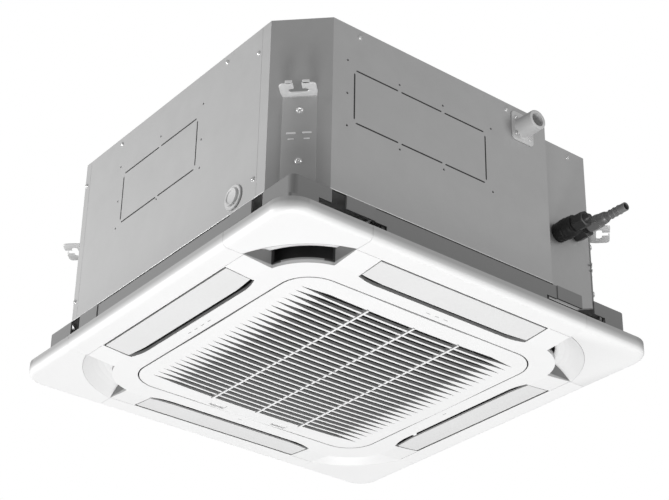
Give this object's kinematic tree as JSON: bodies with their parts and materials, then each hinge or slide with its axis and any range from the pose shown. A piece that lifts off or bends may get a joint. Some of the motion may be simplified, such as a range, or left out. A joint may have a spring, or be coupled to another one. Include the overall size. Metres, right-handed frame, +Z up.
{
  "type": "ceiling cassette air conditioner",
  "caption": "Ceiling cassette air conditioner: square sheet-metal casing on hanging brackets, white panel with tilting flaps, hinged intake grille, fan, coil and drain pump.",
  "frame": {"origin": "middle of the casing in plan, at the underside of the hanging brackets' legs, where the ceiling rods' lower nuts bear", "axes": "+Z up towards the ceiling rods, -Y the side where the drain stub and the refrigerant pipes leave, +X towards the pipe recess"},
  "size_m": [0.624, 0.66, 0.3376],
  "materials": {
    "zinc_sheet": "satin",
    "bracket_steel": "satin",
    "bright_screws": "gloss",
    "grey_foam": "matte",
    "white_foam": "matte",
    "panel_white": "satin",
    "flap_white": "satin",
    "collar_grey": "matte",
    "fan_grey": "satin",
    "motor_case": "satin",
    "plain_steel": "satin",
    "fin_aluminium": "satin",
    "copper_tube": "satin",
    "dark_fitting": "satin",
    "black_rubber": "matte",
    "black_fitting": "satin",
    "pump_white": "satin",
    "pipe_grey": "satin",
    "float_orange": "satin",
    "board_green": "satin",
    "filter_mesh": "matte",
    "lamp_grey": "gloss"
  },
  "bodies": {
    "casing": {"side_front": "zinc_sheet", "side_left": "zinc_sheet", "side_right": "zinc_sheet", "side_back": "zinc_sheet", "top_sheet": "zinc_sheet", "top_rim": "zinc_sheet", "base_ring": "zinc_sheet", "hanger_brackets": "bracket_steel", "casing_screws": "bright_screws", "foam_lining": "grey_foam", "drain_pan": "white_foam", "pan_rim": "white_foam", "bell_mouth": "fan_grey", "fan_motor": "motor_case", "motor_bushes": "black_rubber", "coil_fins": "fin_aluminium", "coil_plates": "plain_steel", "coil_bends": "copper_tube", "header_pipes": "copper_tube", "gas_fitting": "dark_fitting", "liquid_fitting": "black_fitting", "pipe_sleeve": "black_rubber", "drain_pump": "pump_white", "drain_hose": "pipe_grey", "float_stem": "pump_white", "drain_outlet": "pipe_grey", "drain_stub": "pipe_grey", "outlet_screws": "bright_screws", "control_box": "zinc_sheet", "control_lid": "zinc_sheet", "circuit_board": "board_green", "terminal_block": "black_fitting", "panel_frame": "panel_white", "indicator_marks": "lamp_grey", "panel_collar": "collar_grey", "duct_seal": "grey_foam", "slot_seals": "grey_foam", "panel_screws": "plain_steel", "flap_motors": "plain_steel"},
    "fan": {"fan_hub": "fan_grey", "fan_blades": "fan_grey", "fan_shroud": "fan_grey", "motor_shaft": "plain_steel", "fan_nut": "plain_steel"},
    "flap_left": {"flap_left": "flap_white"},
    "flap_front": {"flap_front": "flap_white"},
    "flap_right": {"flap_right": "flap_white"},
    "flap_back": {"flap_back": "flap_white"},
    "grille": {"intake_grille": "panel_white", "grille_hinges": "panel_white"},
    "latch_left": {"latch_left": "panel_white"},
    "latch_right": {"latch_right": "panel_white"},
    "filter": {"filter_frame": "fan_grey", "filter_net": "filter_mesh"},
    "corner_cover_near": {"corner_cover_near": "panel_white"},
    "corner_cover_left": {"corner_cover_left": "panel_white"},
    "corner_cover_right": {"corner_cover_right": "panel_white"},
    "corner_cover_far": {"corner_cover_far": "panel_white"},
    "float": {"float_ring": "float_orange"},
    "test_cap": {"test_cap": "pipe_grey"}
  },
  "joints": [
    {"name": "fan_spin", "type": "hinge", "parent": "casing", "child": "fan", "pos_m": [0, 0, 0.0135], "axis": [0, 0, 1], "continuous": true},
    {"name": "flap_left_tilt", "type": "hinge", "parent": "casing", "child": "flap_left", "pos_m": [-0.258, 0, -0.197], "axis": [0, 1, 0], "range_deg": [0, 75]},
    {"name": "flap_front_tilt", "type": "hinge", "parent": "casing", "child": "flap_front", "pos_m": [0, -0.258, -0.197], "axis": [-1, 0, 0], "range_deg": [0, 75]},
    {"name": "flap_right_tilt", "type": "hinge", "parent": "casing", "child": "flap_right", "pos_m": [0.258, 0, -0.197], "axis": [0, -1, 0], "range_deg": [0, 75]},
    {"name": "flap_back_tilt", "type": "hinge", "parent": "casing", "child": "flap_back", "pos_m": [0, 0.258, -0.197], "axis": [1, 0, 0], "range_deg": [0, 75]},
    {"name": "grille_swing", "type": "hinge", "parent": "casing", "child": "grille", "pos_m": [0, -0.1632, -0.2002], "axis": [-1, 0, 0], "range_deg": [0, 90]},
    {"name": "latch_left_slide", "type": "slide", "parent": "grille", "child": "latch_left", "axis": [0, 1, 0], "range_m": [0, 0.005]},
    {"name": "latch_right_slide", "type": "slide", "parent": "grille", "child": "latch_right", "axis": [0, 1, 0], "range_m": [0, 0.005]},
    {"name": "filter_lift", "type": "slide", "parent": "grille", "child": "filter", "axis": [0, 0, 1], "range_m": [0, 0.012]},
    {"name": "corner_cover_near_pull", "type": "slide", "parent": "casing", "child": "corner_cover_near", "axis": [0, 0, -1], "range_m": [0, 0.03]},
    {"name": "corner_cover_left_pull", "type": "slide", "parent": "casing", "child": "corner_cover_left", "axis": [0, 0, -1], "range_m": [0, 0.03]},
    {"name": "corner_cover_right_pull", "type": "slide", "parent": "casing", "child": "corner_cover_right", "axis": [0, 0, -1], "range_m": [0, 0.03]},
    {"name": "corner_cover_far_pull", "type": "slide", "parent": "casing", "child": "corner_cover_far", "axis": [0, 0, -1], "range_m": [0, 0.03]},
    {"name": "float_rise", "type": "slide", "parent": "casing", "child": "float", "axis": [0, 0, 1], "range_m": [0, 0.02]},
    {"name": "test_cap_pull", "type": "slide", "parent": "casing", "child": "test_cap", "axis": [-1, 0, 0], "range_m": [0, 0.025]}
  ]
}
